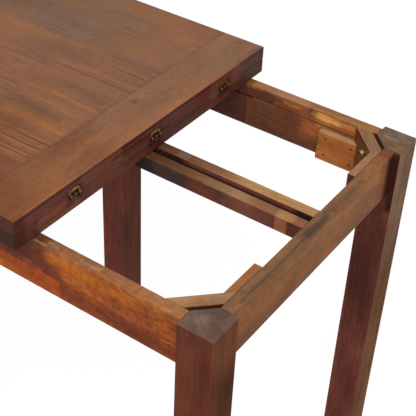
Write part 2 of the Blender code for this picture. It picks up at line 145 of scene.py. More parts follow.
# a place, how often it repeats per metre along and across the grain, and how much detail
for name, start, along, sideways, detail in (
        ("Fibres", bent, 18.0, 450.0, 4.0),             # 55 mm by 2 mm, drawn coarser than real ones, to show
        ("Patches", given["Place"], 6.0, 12.0, 2.0),    # clouds of tone, 170 mm by 80 mm
        ("Mottle", bent, 70.0, 170.0, 4.0),             # 14 mm by 6 mm
        ("Figure", bent, 130.0, 50.0, 3.0),             # ripple, 8 mm along the grain and 20 mm across
        ("Streaks", bent, 5.0, 280.0, 2.0),             # 200 mm by 3.5 mm
        ("Zones", given["Place"], 3.5, 15.0, 1.0)):     # where streaks may show, 280 mm by 70 mm
    place = add(g, "ShaderNodeVectorMath", {0: start, 1: (along, sideways, sideways)}, operation="MULTIPLY")
    patterns[name] = add(g, "ShaderNodeTexNoise", {0: place.outputs[0], "Scale": 1.0, "Detail": detail,
                                                   "Roughness": 0.6}).outputs[0]
print("patterns:", ", ".join(patterns))

# %% The wood group: from patterns to colour
# one number from dark to pale: each pattern swings it by its own amount
DARK_END, MIDDLE, PALE_END = 0.15, 0.5, 0.85
tone = MIDDLE
for name in ("Rings", "Fibres", "Patches", "Mottle", "Figure"):
    half = add(g, "ShaderNodeMath", {0: patterns[name], 1: 0.5}, operation="SUBTRACT")
    tone = add(g, "ShaderNodeMath", {0: half.outputs[0], 1: given[name], 2: tone},
               operation="MULTIPLY_ADD").outputs[0]
low_part = add(g, "ShaderNodeMapRange", {0: tone, 1: DARK_END, 2: MIDDLE})
high_part = add(g, "ShaderNodeMapRange", {0: tone, 1: MIDDLE, 2: PALE_END})
low_mix = add(g, "ShaderNodeMix", {0: low_part.outputs[0], 6: given["Dark"], 7: given["Middle"]},
              data_type="RGBA")
high_mix = add(g, "ShaderNodeMix", {0: high_part.outputs[0], 6: low_mix.outputs[2], 7: given["Pale"]},
               data_type="RGBA")

# dark streaks, only inside their zones: the noise values between which each begins and is full
STREAK_EDGE, ZONE_EDGE = (0.53, 0.66), (0.47, 0.62)
line = add(g, "ShaderNodeMapRange", {0: patterns["Streaks"], 1: STREAK_EDGE[0], 2: STREAK_EDGE[1]},
           interpolation_type="SMOOTHSTEP")
zone = add(g, "ShaderNodeMapRange", {0: patterns["Zones"], 1: ZONE_EDGE[0], 2: ZONE_EDGE[1]},
           interpolation_type="SMOOTHSTEP")
line_here = add(g, "ShaderNodeMath", {0: line.outputs[0], 1: zone.outputs[0]}, operation="MULTIPLY")
amount = add(g, "ShaderNodeMath", {0: line_here.outputs[0], 1: given["Streaks"]}, operation="MULTIPLY")
streak_colour = add(g, "ShaderNodeMix", {0: 0.5, 6: given["Dark"], 7: linear("#20140E")}, data_type="RGBA")
with_streaks = add(g, "ShaderNodeMix", {0: amount.outputs[0], 6: high_mix.outputs[2],
                                        7: streak_colour.outputs[2]}, data_type="RGBA")
add(g, "NodeGroupOutput", {"Color": with_streaks.outputs[2], "Tone": tone, "Fibre": patterns["Fibres"]})
print(f"wood group: {len(g.nodes)} nodes")

# %% [markdown]
# ## A mask for marks and wear
#
# Real pieces have marks: tops rubbed pale by the sliding leaf, a grey streak in one apron. Some marks are
# painted light and shade instead: the paler tops are partly painted light, the grey leg tops a painted
# reflection, and the dark places under the leaf painted shade. They could be painted by hand, but a painted
# picture is tied to one face and its pixels. Here each mark lies in a box of the table's own coordinates, with
# a soft border that wavers along the grain, and one group makes that mask. Where a soft mark would run on
# round a corner, a crisp second box stops it there.

# %% The mark mask
mark_group = bpy.data.node_groups.new("inside a box", "ShaderNodeTree")
sockets(mark_group, "INPUT", ("Place", "Vector"), ("Grain place", "Vector"), ("Centre", "Vector"),
        ("Half", "Vector"), ("Soft", "Float"), ("Ragged", "Float"), ("Strength", "Float"))
sockets(mark_group, "OUTPUT", ("Mask", "Float"))

g = mark_group
given = add(g, "NodeGroupInput").outputs
RAGGED_WAVES = (14.0, 62.0, 62.0)   # per metre: about 70 mm along the grain and 16 mm across it
wave_place = add(g, "ShaderNodeVectorMath", {0: given["Grain place"], 1: RAGGED_WAVES}, operation="MULTIPLY")
wave = add(g, "ShaderNodeTexNoise", {0: wave_place.outputs[0], "Scale": 1.0, "Detail": 3.0}).outputs["Color"]
wave_half = add(g, "ShaderNodeVectorMath", {0: wave, 1: NOISE_MIDDLE}, operation="SUBTRACT").outputs[0]
wave_push = add(g, "ShaderNodeVectorMath", {0: wave_half, "Scale": given["Ragged"]}, operation="SCALE")
moved = add(g, "ShaderNodeVectorMath", {0: given["Place"], 1: wave_push.outputs[0]}, operation="ADD")
offset = add(g, "ShaderNodeVectorMath", {0: moved.outputs[0], 1: given["Centre"]}, operation="SUBTRACT")
distance = add(g, "ShaderNodeVectorMath", {0: offset.outputs[0]}, operation="ABSOLUTE")
outside = add(g, "ShaderNodeVectorMath", {0: distance.outputs[0], 1: given["Half"]}, operation="SUBTRACT")

# the distance to the box, negative inside, with round corners outside
parts = add(g, "ShaderNodeSeparateXYZ", {0: outside.outputs[0]})
worst_xy = add(g, "ShaderNodeMath", {0: parts.outputs[0], 1: parts.outputs[1]}, operation="MAXIMUM")
worst_all = add(g, "ShaderNodeMath", {0: worst_xy.outputs[0], 1: parts.outputs[2]}, operation="MAXIMUM")
depth = add(g, "ShaderNodeMath", {0: worst_all.outputs[0], 1: 0.0}, operation="MINIMUM")
beyond = add(g, "ShaderNodeVectorMath", {0: outside.outputs[0], 1: (0.0, 0.0, 0.0)}, operation="MAXIMUM")
round_part = add(g, "ShaderNodeVectorMath", {0: beyond.outputs[0]}, operation="LENGTH").outputs["Value"]
worst = add(g, "ShaderNodeMath", {0: round_part, 1: depth.outputs[0]}, operation="ADD")
inner = add(g, "ShaderNodeMath", {0: given["Soft"], 1: -1.0}, operation="MULTIPLY")
edge = add(g, "ShaderNodeMapRange", {0: worst.outputs[0], 1: inner.outputs[0], 2: given["Soft"],
                                     3: 1.0, 4: 0.0}, interpolation_type="SMOOTHSTEP")
mask = add(g, "ShaderNodeMath", {0: edge.outputs[0], 1: given["Strength"]}, operation="MULTIPLY")
add(g, "NodeGroupOutput", {"Mask": mask.outputs[0]})
print(f"mark group: {len(g.nodes)} nodes")

# %% [markdown]
# ## Cutting, marking and oiling a piece
#
# Every piece goes through three steps, as in the workshop. It is cut: its grain direction and its distance
# from the tree's heart are chosen. It is marked where the real one is, and the grain stays visible through
# the mark. Then it is oiled: a satin sheen whose roughness and fine relief follow the fibres. One ready
# material for all pieces would be less work, but then neighbours would show the same grain.

# %% Cut
TURNS = {"x": (0.0, 0.0, 0.0), "y": (0.0, 0.0, -math.pi / 2), "z": (0.0, math.pi / 2, 0.0),
         "sloping y": (math.radians(7), 0.0, -math.pi / 2),
         "diagonal": (0.0, 0.0, -math.pi / 4), "other diagonal": (0.0, 0.0, math.pi / 4)}
SEED_STEP = 1.7     # metres along the trunk from one seed to the next


def cut(name, node, tones, seed, heart, ring, wander, grain="x", **amounts):
    """Starts a wood material. The heart's offsets, ring width and wander are in millimetres."""
    material = blank_material(name)
    tree = material.node_tree
    low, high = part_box(node)
    turned = Euler(TURNS[grain]).to_matrix() @ ((low + high) / 2)
    place = Vector((seed * SEED_STEP, -heart[0] / 1000, -heart[1] / 1000)) - turned
    spot = add(tree, "ShaderNodeTexCoord").outputs["Object"]
    mapped = add(tree, "ShaderNodeMapping", {0: spot, "Location": place, "Rotation": TURNS[grain]}).outputs[0]
    inputs = {"Place": mapped, "Ring width": ring / 1000, "Wander": wander / 1000}
    inputs.update(zip(("Pale", "Middle", "Dark"), [linear(tone) for tone in tones]))
    inputs.update({key.capitalize(): value for key, value in amounts.items()})
    wood = add(tree, "ShaderNodeGroup", inputs, node_tree=wood_group)
    return {"material": material, "tree": tree, "spot": spot, "mapped": mapped, "wood": wood,
            "colour": wood.outputs["Color"]}


print("grain directions:", ", ".join(TURNS))

# %% Mark
EVERYWHERE = (-9, 9)


def inside(piece, x=EVERYWHERE, y=EVERYWHERE, z=EVERYWHERE, soft=0.5, ragged=0.0, strength=1.0):
    """The mask of a box. The box is in metres, the border's softness and raggedness in millimetres."""
    return add(piece["tree"], "ShaderNodeGroup", {
        "Place": piece["spot"], "Grain place": piece["mapped"],
        "Centre": [(a + b) / 2 for a, b in (x, y, z)], "Half": [(b - a) / 2 for a, b in (x, y, z)],
        "Soft": soft / 1000, "Ragged": ragged / 1000, "Strength": strength}, node_tree=mark_group).outputs[0]


def mark(piece, hex_colour, strength, soft=0.8, face=None, **box):
    """Colours a box of the piece. A face is a second, crisp box that stops a soft mark at a corner."""
    tree = piece["tree"]
    share = inside(piece, soft=soft, strength=strength, **box)
    if face:
        share = add(tree, "ShaderNodeMath", {0: share, 1: inside(piece, **face)},
                    operation="MULTIPLY").outputs[0]
    # the wood's own tone shades the mark by up to a third either way
    tone = piece["wood"].outputs["Tone"]
    shade = add(tree, "ShaderNodeMapRange", {0: tone, 1: 0.2, 2: 0.8, 3: 0.67, 4: 1.33})
    colour = add(tree, "ShaderNodeVectorMath", {0: linear(hex_colour)[:3], "Scale": shade.outputs[0]},
                 operation="SCALE")
    mixed = add(tree, "ShaderNodeMix", {0: share, 6: piece["colour"], 7: colour.outputs[0]}, data_type="RGBA")
    piece["colour"] = mixed.outputs[2]


def around(middle, half):
    return middle - half, middle + half


print(f"a side that a mark doesn't name reaches {EVERYWHERE[1]} m, past every piece")

# %% Oil
OIL_ROUGH = (0.40, 0.58)
OIL_COAT, LEG_COAT = 0.18, 0.07


def oil(piece, *names, coat=OIL_COAT):
    """Ends a wood material with its satin sheen and hands it to the named solids."""
    tree = piece["tree"]
    fibre = piece["wood"].outputs["Fibre"]
    rough_map = add(tree, "ShaderNodeMapRange", {0: fibre, 1: 0.3, 2: 0.7, 3: OIL_ROUGH[1], 4: OIL_ROUGH[0]})
    # the fibres' relief is about 0.1 mm
    relief = add(tree, "ShaderNodeBump", {"Strength": 0.3, "Distance": 0.0001, "Height": fibre})
    # stained wood is dull by itself: all its gloss is the thin coat of oil, soft and wide
    shader = add(tree, "ShaderNodeBsdfPrincipled", {
        "Base Color": piece["colour"], "Roughness": rough_map.outputs[0], "Normal": relief.outputs[0],
        "IOR": 1.5, "Specular IOR Level": 0.0, "Coat Weight": coat, "Coat Roughness": 0.3, "Coat IOR": 1.5})
    add(tree, "ShaderNodeOutputMaterial", {"Surface": shader.outputs[0]})
    for node_name in names:
        nodes[node_name].material_slots[0].material = piece["material"]


print(f"satin oil: roughness {OIL_ROUGH[0]} to {OIL_ROUGH[1]}, coat {OIL_COAT}, on the legs {LEG_COAT}")

# %% [markdown]
# ## The leaves
#
# Each leaf is a panel of boards glued side by side, with an end board across the grain at both ends. The
# panel could be cut into boards with a material each, but it is one solid. So its material asks in which
# board a point lies: the boards come from different trees, and each gets its own heart and its own tint,
# which may drift along the board; the cool grey tint of the far boards is partly a painted reflection. The
# edges of the leaves took the stain more darkly, and the lower leaf's sides are painted darker still, as
# shade.

# %% Boards and tints
TOP_TONES = ("#A67248", "#90684C", "#745848")
LEAF_LOW, LEAF_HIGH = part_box("upper_leaf_panel")
JOINT_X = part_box("upper_leaf_hinged_end")[0].x
FREE_JOINT_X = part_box("upper_leaf_free_end")[1].x
BOARD_WIDTH = 0.1165
# from the near edge to the far edge, at the hinged end and at the free end; the cool grey tints towards the
# far edge are partly the boards' own colour and partly a painted reflection of the sky
TINT_HINGED = ("#E8C8B8", "#FAE4D8", "#FFEEE8", "#F8EEEE", "#F2ECF0", "#FFEDEA")
TINT_FREE = ("#E2C4B2", "#FAE4D8", "#FFF0E6", "#FFF4F0", "#EEECF4", "#F0F0F2")
DRIFT_START, DRIFT_END = JOINT_X - 0.05, JOINT_X - 0.34
BOARDS = len(TINT_FREE)
BOARD_JUMP = (7.0, 0.09, 0.06)      # how far apart two boards may lie in the tree, in metres
SEEDS_PER_PANEL = 10
print(f"{BOARDS} boards in a panel, {BOARD_WIDTH * 1000:.1f} mm wide")


# %% A panel of boards
def panel(name, node, seed):
    """Cuts a panel of boards: the place inside the tree starts afresh in every board."""
    piece = cut(name, node, TOP_TONES, seed, heart=(20, -60), ring=14.0, wander=26.0, rings=0.35, fibres=0.5,
                patches=0.8, mottle=0.6, figure=0.12, streaks=0.5)
    tree = piece["tree"]
    parts = add(tree, "ShaderNodeSeparateXYZ", {0: piece["spot"]})
    far_y = LEAF_LOW.y + BOARDS * BOARD_WIDTH
    along = add(tree, "ShaderNodeMapRange", {0: parts.outputs[1], 1: LEAF_LOW.y, 2: far_y, 3: 0.0, 4: BOARDS},
                clamp=False)
    number = add(tree, "ShaderNodeMath", {0: along.outputs[0]}, operation="FLOOR")
    seeded = add(tree, "ShaderNodeMath", {0: number.outputs[0], 1: seed * SEEDS_PER_PANEL}, operation="ADD")
    chance = add(tree, "ShaderNodeTexWhiteNoise", {"W": seeded.outputs[0]}, noise_dimensions="1D")
    chance_half = add(tree, "ShaderNodeVectorMath", {0: chance.outputs["Color"], 1: NOISE_MIDDLE},
                      operation="SUBTRACT")
    jump = add(tree, "ShaderNodeVectorMath", {0: chance_half.outputs[0], 1: BOARD_JUMP}, operation="MULTIPLY")
    back = add(tree, "ShaderNodeMath", {0: number.outputs[0], 1: -BOARD_WIDTH}, operation="MULTIPLY")
    shift = add(tree, "ShaderNodeCombineXYZ", {1: back.outputs[0]})
    moved = add(tree, "ShaderNodeVectorMath", {0: piece["mapped"], 1: shift.outputs[0]}, operation="ADD")
    placed = add(tree, "ShaderNodeVectorMath", {0: moved.outputs[0], 1: jump.outputs[0]}, operation="ADD")
    tree.links.new(placed.outputs[0], piece["wood"].inputs["Place"])
    share = add(tree, "ShaderNodeMath", {0: along.outputs[0], 1: BOARDS}, operation="DIVIDE")
    ramps = []
    for tints in (TINT_HINGED, TINT_FREE):
        ramp = add(tree, "ShaderNodeValToRGB", {0: share.outputs[0]})
        ramp.color_ramp.interpolation = "CONSTANT"
        while len(ramp.color_ramp.elements) < BOARDS:
            ramp.color_ramp.elements.new(0.5)
        for i, tint in enumerate(tints):
            ramp.color_ramp.elements[i].position = i / BOARDS
            ramp.color_ramp.elements[i].color = linear(tint)
        ramps.append(ramp.outputs[0])
    drift = add(tree, "ShaderNodeMapRange", {0: parts.outputs[0], 1: DRIFT_START, 2: DRIFT_END},
                interpolation_type="SMOOTHSTEP")
    tint = add(tree, "ShaderNodeMix", {0: drift.outputs[0], 6: ramps[0], 7: ramps[1]}, data_type="RGBA")
    tinted = add(tree, "ShaderNodeMix", {0: 1.0, 6: piece["colour"], 7: tint.outputs[2]}, data_type="RGBA",
                 blend_type="MULTIPLY")
    piece["colour"] = tinted.outputs[2]
    return piece


print(f"tints drift over {(DRIFT_START - DRIFT_END) * 1000:.0f} mm")


# %% The glued panels
def mark_upper_panel(piece):
    # grey-purple clouds on the far boards, a painted reflection of the sky, and a pink one that is the wood's
    # own
    mark(piece, "#866E5E", 0.3, x=(-0.24, -0.08), y=(0.130, 0.22), soft=32, ragged=60)
    mark(piece, "#80644F", 0.3, x=(-0.14, 0.0), y=(0.23, 0.30), soft=30, ragged=60)
    mark(piece, "#98644C", 0.22, x=(0.02, 0.12), y=(0.21, 0.35), soft=24, ragged=50)
    # a tan band, dark lines and dull clouds on the middle ones
    mark(piece, "#A26A3A", 0.35, x=(-0.27, -0.06), y=(0.108, 0.1255), soft=6, ragged=16)
    mark(piece, "#4A3A34", 0.45, x=(-0.06, 0.112), y=(0.046, 0.0505), soft=2.5, ragged=9)
    mark(piece, "#4A3A34", 0.4, x=(0.0, 0.112), y=(0.0555, 0.058), soft=1.5, ragged=6)
    mark(piece, "#745A46", 0.4, x=(0.0, 0.112), y=(-0.012, 0.022), soft=9, ragged=34)
    mark(piece, "#5A4434", 0.45, x=(-0.045, 0.07), y=(-0.100, -0.080), soft=9, ragged=40)
    mark(piece, "#A06838", 0.35, x=(-0.03, 0.112), y=(-0.136, -0.108), soft=6, ragged=26)
    # uneven dark streaks, with orange lights between them, on the near ones
    for y, start, half, share in ((-0.147, 0.03, 0.0006, 0.55), (-0.1535, 0.06, 0.0004, 0.45),
                                  (-0.163, 0.0, 0.0010, 0.65), (-0.170, 0.05, 0.0004, 0.4),
                                  (-0.1785, 0.02, 0.0012, 0.7), (-0.189, 0.07, 0.0005, 0.4),
                                  (-0.1965, -0.02, 0.0009, 0.6), (-0.207, 0.04, 0.0014, 0.65)):
        mark(piece, "#40281A", share, x=(start, 0.112), y=around(y, half), soft=1.9, ragged=10)
    for y in (-0.158, -0.184, -0.203, -0.214):
        mark(piece, "#B06C38", 0.45, x=(-0.02, 0.10), y=around(y, 0.002), soft=3, ragged=18)
    for y in (0.070, 0.079, 0.089, 0.098):
        mark(piece, "#5E4434", 0.45, x=(-0.15, 0.105), y=around(y, 0.0005), soft=1.5, ragged=14)
    for y in (-0.034, -0.066, -0.123):
        mark(piece, "#B0743C", 0.5, x=(-0.05, 0.10), y=around(y, 0.003), soft=5, ragged=30)
    # painted shade: the near boards are darker and browner towards the free end
    mark(piece, "#5A3420", 0.45, x=(-0.5, 0.03), y=(-0.35, -0.12), soft=50, ragged=30)


# the sides' darker colour: stain on both leaves, and on the lower leaf painted shade as well
SIDE_RED = {"upper_leaf": "#48231A", "lower_leaf": "#220F09"}
SKIN = 0.0012       # how deep the darker stain of an edge goes
for leaf, seed in (("upper_leaf", 1.0), ("lower_leaf", 2.0)):
    piece = panel("stained acacia " + words(leaf) + " boards", leaf + "_panel", seed)
    if leaf == "upper_leaf":
        mark_upper_panel(piece)
    for joint in (JOINT_X, FREE_JOINT_X):
        mark(piece, "#6A4E3C", 0.35, x=(joint - 0.004, joint + 0.001), soft=3, ragged=6)
    # the sides: stain, and on the lower leaf painted shade
    for y in (LEAF_LOW.y, LEAF_HIGH.y):
        mark(piece, SIDE_RED[leaf], 0.9, y=around(y, SKIN), soft=0.6)
    oil(piece, leaf + "_panel")
print(f"two panels of {BOARDS} boards")

# %% Marks on the hinged boards
HINGE_Y = [sum(v.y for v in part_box("hinge_pin_" + name)) / 2 for name in ("near", "middle", "far")]
HINGE_HALF = 0.019


def mark_upper_hinged_board(piece, top_z):
    # a knot, a grey far end, partly painted reflection, a browner near half, and a painted highlight on the
    # arris
    mark(piece, "#4A3A30", 0.9, x=(0.131, 0.135), y=(0.025, 0.032), soft=9, ragged=14)
    mark(piece, "#7A6250", 0.4, x=(0.12, 0.185), y=(0.20, 0.35), soft=18, ragged=40)
    mark(piece, "#825034", 0.85, y=(-0.40, -0.09), soft=60, ragged=40)
    mark(piece, "#704124", 0.65, y=(-0.40, -0.27), soft=40, ragged=40)
    mark(piece, "#66523E", 0.45, x=(0.112, 0.118), y=(-0.22, -0.02), soft=5, ragged=12)
    mark(piece, "#5A3826", 0.2, x=(0.172, 0.180), y=(-0.20, -0.02), soft=5, ragged=22)
    mark(piece, "#AC7440", 0.35, x=(0.150, 0.156), y=(-0.15, -0.07), soft=4, ragged=16)
    mark(piece, "#B06C36", 0.5, x=(0.199, 0.21), z=(top_z - 0.003, top_z + 0.001), soft=2.5, ragged=4)


def mark_hinged_face(piece, face_x):
    face_box = around(face_x, 0.003)
    # tan near end, dark lower edge, red-brown lights and dark lines along the grain
    mark(piece, "#985A34", 0.75, x=face_box, y=(-0.285, -0.20), z=(0.745, 0.778), soft=6, ragged=24)
    mark(piece, "#7A462E", 0.5, x=face_box, y=(-0.17, -0.085), z=(0.745, 0.780), soft=6, ragged=20)
    mark(piece, "#361A14", 0.65, x=face_box, z=(0.7985, 0.8038), soft=1.2, ragged=3)
    mark(piece, "#34160F", 0.75, x=face_box, y=(-0.01, 0.04), z=(0.745, 0.776), soft=8, ragged=26)
    mark(piece, "#442218", 0.6, x=face_box, y=(0.045, 0.155), z=(0.745, 0.776), soft=8, ragged=26)
    mark(piece, "#34180F", 0.5, x=face_box, y=(0.225, 0.262), z=(0.745, 0.776), soft=8, ragged=20)
    mark(piece, "#8A5038", 0.65, x=face_box, y=(-0.19, -0.09), z=(0.780, 0.802), soft=7, ragged=20)
    mark(piece, "#845042", 0.7, x=face_box, y=(0.165, 0.26), z=(0.772, 0.81), soft=9, ragged=24)
    mark(piece, "#6A4038", 0.45, x=face_box, y=(-0.085, 0.0), z=(0.745, 0.777), soft=9, ragged=24)
    mark(piece, "#4A3C30", 0.8, x=face_box, y=(0.262, 0.36), soft=16, ragged=30)
    mark(piece, "#2E1714", 0.6, x=face_box, y=(-0.26, 0.22), z=(0.7855, 0.7865), soft=1.5, ragged=7)
    mark(piece, "#2E1714", 0.5, x=face_box, y=(-0.12, 0.26), z=(0.7665, 0.768), soft=1.5, ragged=8)
    mark(piece, "#6A3A2C", 0.3, x=face_box, z=(0.7764, 0.7786), soft=0.6)
    mark(piece, "#382820", 0.5, x=face_box, y=(0.262, 0.36), z=(0.745, 0.776), soft=8, ragged=12)
    mark(piece, "#3A1C14", 0.6, x=face_box, y=(-0.36, -0.318), soft=6, ragged=10)
    mark(piece, "#2A120E", 0.6, x=face_box, y=(-0.115, 0.0), z=(0.7880, 0.7925), soft=3, ragged=12)
    mark(piece, "#2A120E", 0.55, x=face_box, y=(0.03, 0.13), z=(0.7690, 0.7730), soft=3, ragged=12)
    mark(piece, "#2A120E", 0.45, x=face_box, y=(-0.30, -0.21), z=(0.7600, 0.7625), soft=2.5, ragged=10)
    # grime round the hinges
    for hinge in HINGE_Y:
        mark(piece, "#2E1812", 0.6, x=face_box, y=around(hinge, HINGE_HALF), z=(0.764, 0.792), soft=6,
             ragged=10)


print("hinges at y =", [round(y, 3) for y in HINGE_Y])

# %% The end boards
for leaf, seed in (("upper_leaf", 3.0), ("lower_leaf", 5.0)):
    for end in ("hinged_end", "free_end"):
        node = f"{leaf}_{end}"
        low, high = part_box(node)
        piece = cut("stained acacia " + words(node) + " board", node, ("#AA7248", "#956646", "#7A5844"), seed,
                    heart=(15, -110), ring=14.0, wander=18.0, grain="y", rings=0.25, fibres=0.45, patches=0.9,
                    mottle=0.6, figure=0.25, streaks=0.12)
        if node == "upper_leaf_hinged_end":
            mark_upper_hinged_board(piece, high.z)
        mark(piece, "#62342C", 0.95, x=around(high.x if end == "hinged_end" else low.x, SKIN), soft=0.6)
        if end == "hinged_end":
            mark_hinged_face(piece, high.x)
        # the sides: stain, and on the lower leaf painted shade
        for y in (low.y, high.y):
            mark(piece, SIDE_RED[leaf], 0.9, y=around(y, SKIN), soft=0.6)
        oil(piece, node)
        seed += 1.0
print("four end boards, grain across the table")

# %% [markdown]
# ## The frame
#
# The legs are red-brown, with the grain upright, and their outward faces get painted light. The aprons differ
# a lot, as boards from different trees do: the near side one is fiery and mottled, the end one calm and tan.
# One wood with random changes would be shorter, but it would put the fire in any board, so every board gets
# its own tones and its own marks. All tops are painted a little paler, partly for wear where the leaf slides
# over them and partly as painted light, and the places under the leaf get painted shade.

# %% Legs
TOP_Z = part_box("leg_open_near")[1].z
TOP_FACE = around(TOP_Z, 0.001)
TOP_DEEP = around(TOP_Z, 0.004)     # for soft marks on a top, so that they keep their strength there
FACE_SKIN = 0.0008
LEG_TONES = {"open_near": ("#7F462E", "#6A3929", "#4E291E"), "open_far": ("#904F3C", "#743F33", "#562F25"),
             "leaf_near": ("#914A37", "#6F392E", "#4F2A24"), "leaf_far": ("#974E3F", "#7C443B", "#603733")}
# the outward faces get tones of their own: painted light and sheen, as the light falls on that side
OUTWARD_LIGHT_TONES = {"open_near": "#643822", "open_far": "#8C6850", "leaf_near": "#663420", "leaf_far": "#663C30"}
for i, (corner, tones) in enumerate(LEG_TONES.items()):
    node = "leg_" + corner
    low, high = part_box(node)
    piece = cut("stained acacia " + words(node), node, tones, seed=9.0 + i, heart=(60, -45), ring=12.0,
                wander=14.0, grain="z", rings=0.5, fibres=0.5, patches=1.3, mottle=0.5, figure=0.1,
                streaks=0.5)
    outward = {"x": (high.x - FACE_SKIN, high.x + 0.001)}
    others = {"x": (low.x - 0.001, high.x - FACE_SKIN)}
    # painted light: the outward face in its own tone
    mark(piece, OUTWARD_LIGHT_TONES[corner], 0.8, face=outward, soft=9)
    if corner == "open_far":
        # darker half way down, painted shade by the end apron, and painted light, pale to brown, on its
        # outward face
        mark(piece, "#5A2F26", 0.5, face=others, z=(0.42, 0.58), soft=60, ragged=40)
        mark(piece, "#4A2620", 0.45, face=others, z=(0.28, 0.45), soft=40, ragged=30)
        mark(piece, "#2A1816", 0.85, face=others, x=(0.531, 0.55), y=(0.2, 0.27), z=(0.62, 0.76), soft=6,
             ragged=4)
        mark(piece, "#94765E", 0.6, face=outward, z=(0.60, 0.76), soft=40)
        mark(piece, "#6E4220", 0.7, face=outward, z=(-1, 0.49), soft=70)
    if corner == "open_near":
        # painted light and shade on its outward face: paler at the top, darker along the inner half
        mark(piece, "#7A4A30", 0.55, face=outward, z=(0.68, 0.76), soft=25)
        mark(piece, "#4C2410", 0.5, face=outward, y=(-0.30, -0.25), z=(-1, 0.65), soft=25)
    # the tops are painted grey: a painted reflection on the end grain
    mark(piece, "#7C6450" if corner == "open_far" else "#6C574C", 0.9, z=TOP_FACE, soft=0.5)
    if corner == "open_near":
        # a dark corner down the leg, and pale scratches and a dark patch on the top
        mark(piece, "#582A1A", 0.5, face=others, x=(0.522, 0.56), z=(-1, 0.749), soft=7, ragged=6)
        mark(piece, "#8C7A70", 0.55, x=(0.503, 0.5045), y=(-0.299, -0.278), z=TOP_DEEP, soft=1.2, ragged=5)
        mark(piece, "#8C7A70", 0.45, x=(0.508, 0.5093), y=(-0.293, -0.276), z=TOP_DEEP, soft=1.2, ragged=5)
        mark(piece, "#83726A", 0.35, x=(0.498, 0.514), y=(-0.297, -0.283), z=TOP_DEEP, soft=4, ragged=14)
        mark(piece, "#3E332E", 0.5, x=(0.49, 0.53), y=(-0.275, -0.25), z=TOP_DEEP, soft=7, ragged=20)
    if corner == "open_far":
        # grey, tan and brown clouds on the top, with one pale scratch
        mark(piece, "#948070", 0.45, x=(0.515, 0.55), y=(0.288, 0.32), z=TOP_DEEP, soft=9, ragged=16)
        mark(piece, "#84603C", 0.55, x=(0.505, 0.55), y=(0.25, 0.280), z=TOP_DEEP, soft=9, ragged=16)
        mark(piece, "#5A4636", 0.4, x=(0.48, 0.515), y=(0.25, 0.275), z=TOP_DEEP, soft=9, ragged=16)
        mark(piece, "#9A8C82", 0.5, x=(0.494, 0.5255), y=(0.284, 0.291), z=TOP_DEEP, soft=2.5, ragged=10)
    oil(piece, node, coat=LEG_COAT)
print(f"{len(LEG_TONES)} legs, tops at {TOP_Z * 1000:.0f} mm")

# %% The near side apron
piece = cut("stained acacia near side apron", "side_apron_near", ("#C0661C", "#954722", "#5E2814"), seed=15.0,
            heart=(-25, -95), ring=12.0, wander=34.0, rings=0.4, fibres=0.3, patches=1.3, mottle=1.0,
            figure=0.55, streaks=0.2)
# bright orange above and darker below; under the leaf and round its corner, painted shade
mark(piece, "#C8741E", 0.42, x=(0.235, 0.46), z=(0.724, 0.756), soft=9, ragged=45)
mark(piece, "#B8621E", 0.3, x=(0.25, 0.46), z=(0.694, 0.720), soft=9, ragged=40)
mark(piece, "#76341A", 0.65, x=(0.255, 0.49), z=(0.65, 0.688), soft=9, ragged=36)
mark(piece, "#54261A", 0.8, x=(-0.08, 0.224), z=(0.697, 0.756), soft=10, ragged=30)
mark(piece, "#5E2A18", 0.65, x=(0.215, 0.256), z=(0.68, 0.722), soft=9, ragged=26)
mark(piece, "#BA5618", 0.7, x=(0.05, 0.2545), z=(0.65, 0.692), soft=2.5, ragged=8)
mark(piece, "#8A4218", 0.5, x=(0.10, 0.205), z=(0.676, 0.692), soft=7, ragged=30)
mark(piece, "#D0862E", 0.45, x=(0.05, 0.165), z=(0.669, 0.672), soft=5, ragged=16)
# the top, paler partly from wear and partly as painted light, with painted highlights in pale spots, and
# painted shade towards and under the leaf
mark(piece, "#966444", 0.85, z=TOP_FACE, soft=0.5)
mark(piece, "#C4864C", 0.7, x=(0.43, 0.50), z=TOP_FACE, soft=20)
mark(piece, "#84563A", 0.7, x=(0.15, 0.31), z=TOP_FACE, soft=20)
mark(piece, "#5C3822", 0.8, x=(0.15, 0.246), z=TOP_FACE, soft=14)
mark(piece, "#B88C60", 0.45, x=(0.226, 0.248), y=(-0.300, -0.290), z=TOP_DEEP, soft=4, ragged=14)
mark(piece, "#C49C70", 0.4, x=(0.290, 0.330), y=(-0.301, -0.295), z=TOP_DEEP, soft=4, ragged=16)
mark(piece, "#402618", 0.85, x=(-0.2, 0.216), z=TOP_FACE, soft=14)
mark(piece, "#B0946A", 0.5, x=(0.205, 0.230), y=(-0.3045, -0.3015), z=TOP_FACE, soft=0.7)
oil(piece, "side_apron_near")
print("near side apron: fiery, darker below and under the leaf")

# %% The far side apron
INNER_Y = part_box("side_apron_far")[0].y
INNER_FACE = (INNER_Y - 0.002, INNER_Y + 0.003)
inner_face = {"y": INNER_FACE}
KERF_LIP = (INNER_Y - 0.001, INNER_Y + 0.006)
piece = cut("stained acacia far side apron", "side_apron_far", ("#84492E", "#6C3E29", "#4A2C21"), seed=16.0,
            heart=(-25, -95), ring=12.0, wander=30.0, rings=0.4, fibres=0.25, patches=1.2, mottle=0.6,
            figure=0.3, streaks=0.3)
